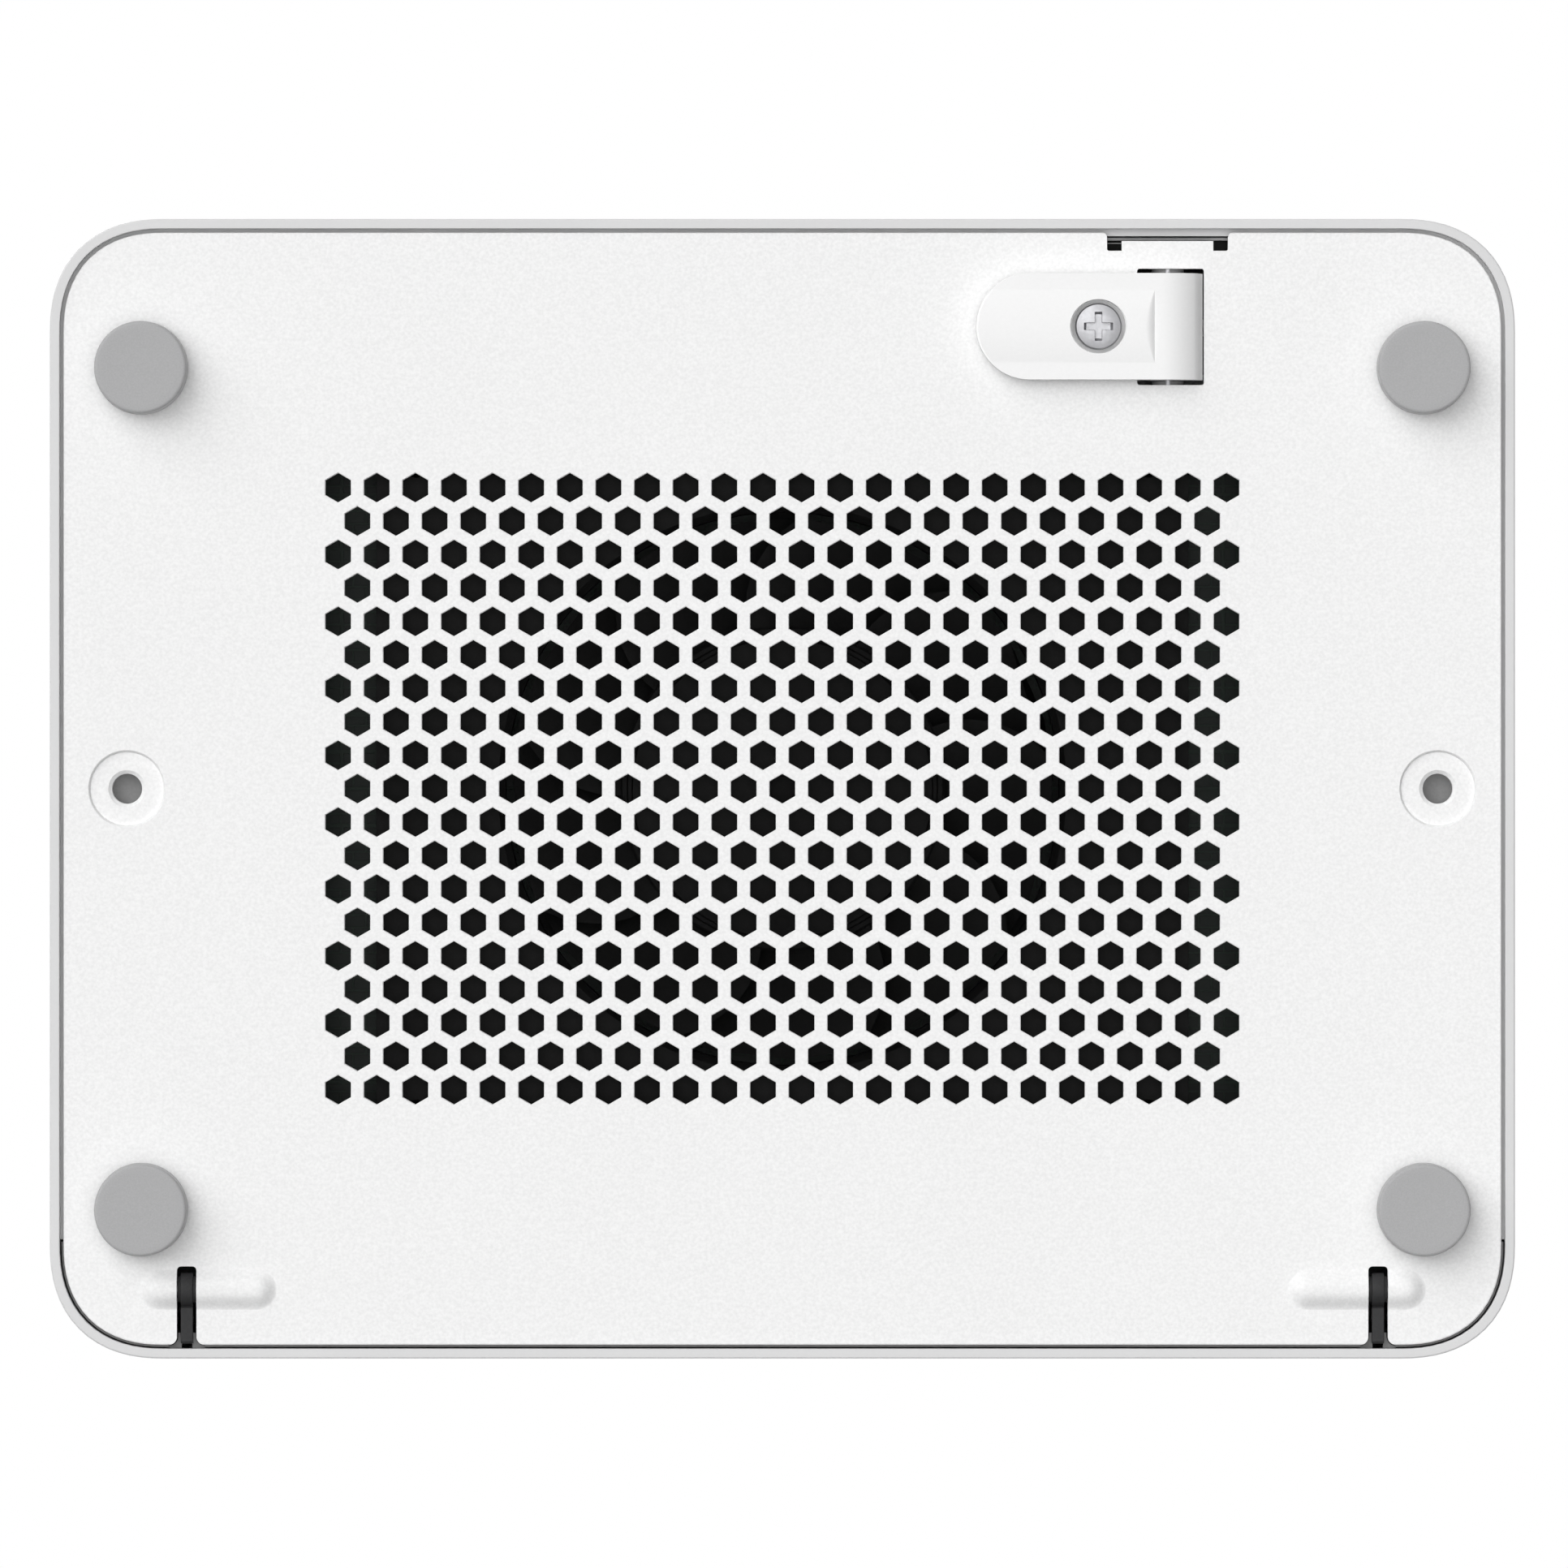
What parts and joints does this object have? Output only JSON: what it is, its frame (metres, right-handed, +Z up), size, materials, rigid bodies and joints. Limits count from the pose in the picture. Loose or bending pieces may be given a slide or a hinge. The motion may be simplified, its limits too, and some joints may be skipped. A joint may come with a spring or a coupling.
{
  "type": "wireless router",
  "caption": "Flat wireless router with a vented swing-open bottom cover on rubber feet, a screw-locked release lever, cooling fan, and network, USB and power sockets at the rear.",
  "frame": {"origin": "middle of the footprint, on the surface that the four feet stand on", "axes": "+Z up out of the lid, +Y towards the socket side, +X along the long side"},
  "size_m": [0.18, 0.14, 0.042],
  "materials": {
    "white_shell": "smooth satin",
    "white_textured": "fine spark-eroded texture",
    "white_lever": "smooth satin",
    "dark_plastic": "satin",
    "black_plastic": "matte",
    "grey_plastic": "matte",
    "button_plastic": "satin",
    "grey_rubber": "matte",
    "zinc_steel": "zinc plated",
    "brass": "turned",
    "aluminium": "extruded",
    "plated_steel": "tin plated",
    "green_board": "solder mask",
    "dark_board": "solder mask",
    "grey_lead": "smooth jacket",
    "clear_plastic": "polished"
  },
  "bodies": {
    "housing": {"top_shell": "white_shell", "port_frame": "dark_plastic", "lan_sockets": "plated_steel", "wan_socket": "plated_steel", "usb_socket": "plated_steel", "power_inlet": "dark_plastic", "fan_frame": "black_plastic", "heat_sink": "aluminium", "main_board": "green_board", "shield_can": "plated_steel", "light_guide": "clear_plastic", "board_screw_1": "zinc_steel", "board_screw_2": "zinc_steel", "board_screw_3": "zinc_steel", "board_screw_4": "zinc_steel", "antenna_1": "dark_board", "antenna_2": "dark_board", "antenna_3": "dark_board", "antenna_4": "dark_board", "antenna_lead_1": "grey_lead", "antenna_lead_2": "grey_lead", "antenna_lead_3": "grey_lead", "antenna_lead_4": "grey_lead"},
    "bottom_cover": {"base_plate": "white_textured", "latch_bracket": "grey_plastic", "screw_insert": "brass", "lever_pin": "zinc_steel", "foot_front_left": "grey_rubber", "foot_front_right": "grey_rubber", "foot_rear_left": "grey_rubber", "foot_rear_right": "grey_rubber", "hinge_pin_left": "zinc_steel", "hinge_pin_right": "zinc_steel"},
    "release_lever": {"release_lever": "white_lever"},
    "lever_screw": {"lever_screw": "zinc_steel"},
    "latch_slider": {"latch_slider": "grey_plastic"},
    "fan_rotor": {"fan_rotor": "black_plastic"},
    "power_button": {"power_button": "button_plastic"},
    "wps_button": {"wps_button": "button_plastic"},
    "reset_button": {"reset_button": "button_plastic"}
  },
  "joints": [
    {"name": "cover_hinge", "type": "hinge", "parent": "housing", "child": "bottom_cover", "pos_m": [0, 0.06155, 0.0056], "axis": [1, 0, 0], "range_deg": [0, 50]},
    {"name": "lever_pivot", "type": "hinge", "parent": "bottom_cover", "child": "release_lever", "pos_m": [0.0474, -0.05675, 0.0055], "axis": [0, -1, 0], "range_deg": [0, 90]},
    {"name": "latch_slide", "type": "slide", "parent": "bottom_cover", "child": "latch_slider", "axis": [-1, 0, 0], "range_m": [0, 0.0088]},
    {"name": "lever_screw_spin", "type": "hinge", "parent": "release_lever", "child": "lever_screw", "pos_m": [0.0388, -0.05675, 0.003], "axis": [0, 0, 1], "continuous": true},
    {"name": "fan_spin", "type": "hinge", "parent": "housing", "child": "fan_rotor", "pos_m": [0, 0, 0.012], "axis": [0, 0, 1], "continuous": true},
    {"name": "power_button_push", "type": "slide", "parent": "housing", "child": "power_button", "axis": [0, -1, 0], "range_m": [0, 0.0015], "stiffness_N_per_m": 600},
    {"name": "wps_button_push", "type": "slide", "parent": "housing", "child": "wps_button", "axis": [0, -1, 0], "range_m": [0, 0.0008], "stiffness_N_per_m": 800},
    {"name": "reset_button_push", "type": "slide", "parent": "housing", "child": "reset_button", "axis": [0, -1, 0], "range_m": [0, 0.0005], "stiffness_N_per_m": 800}
  ],
  "couplings": [
    {"joint": "latch_slide", "follows": "lever_pivot", "m_per_rad": 0.0055819}
  ]
}
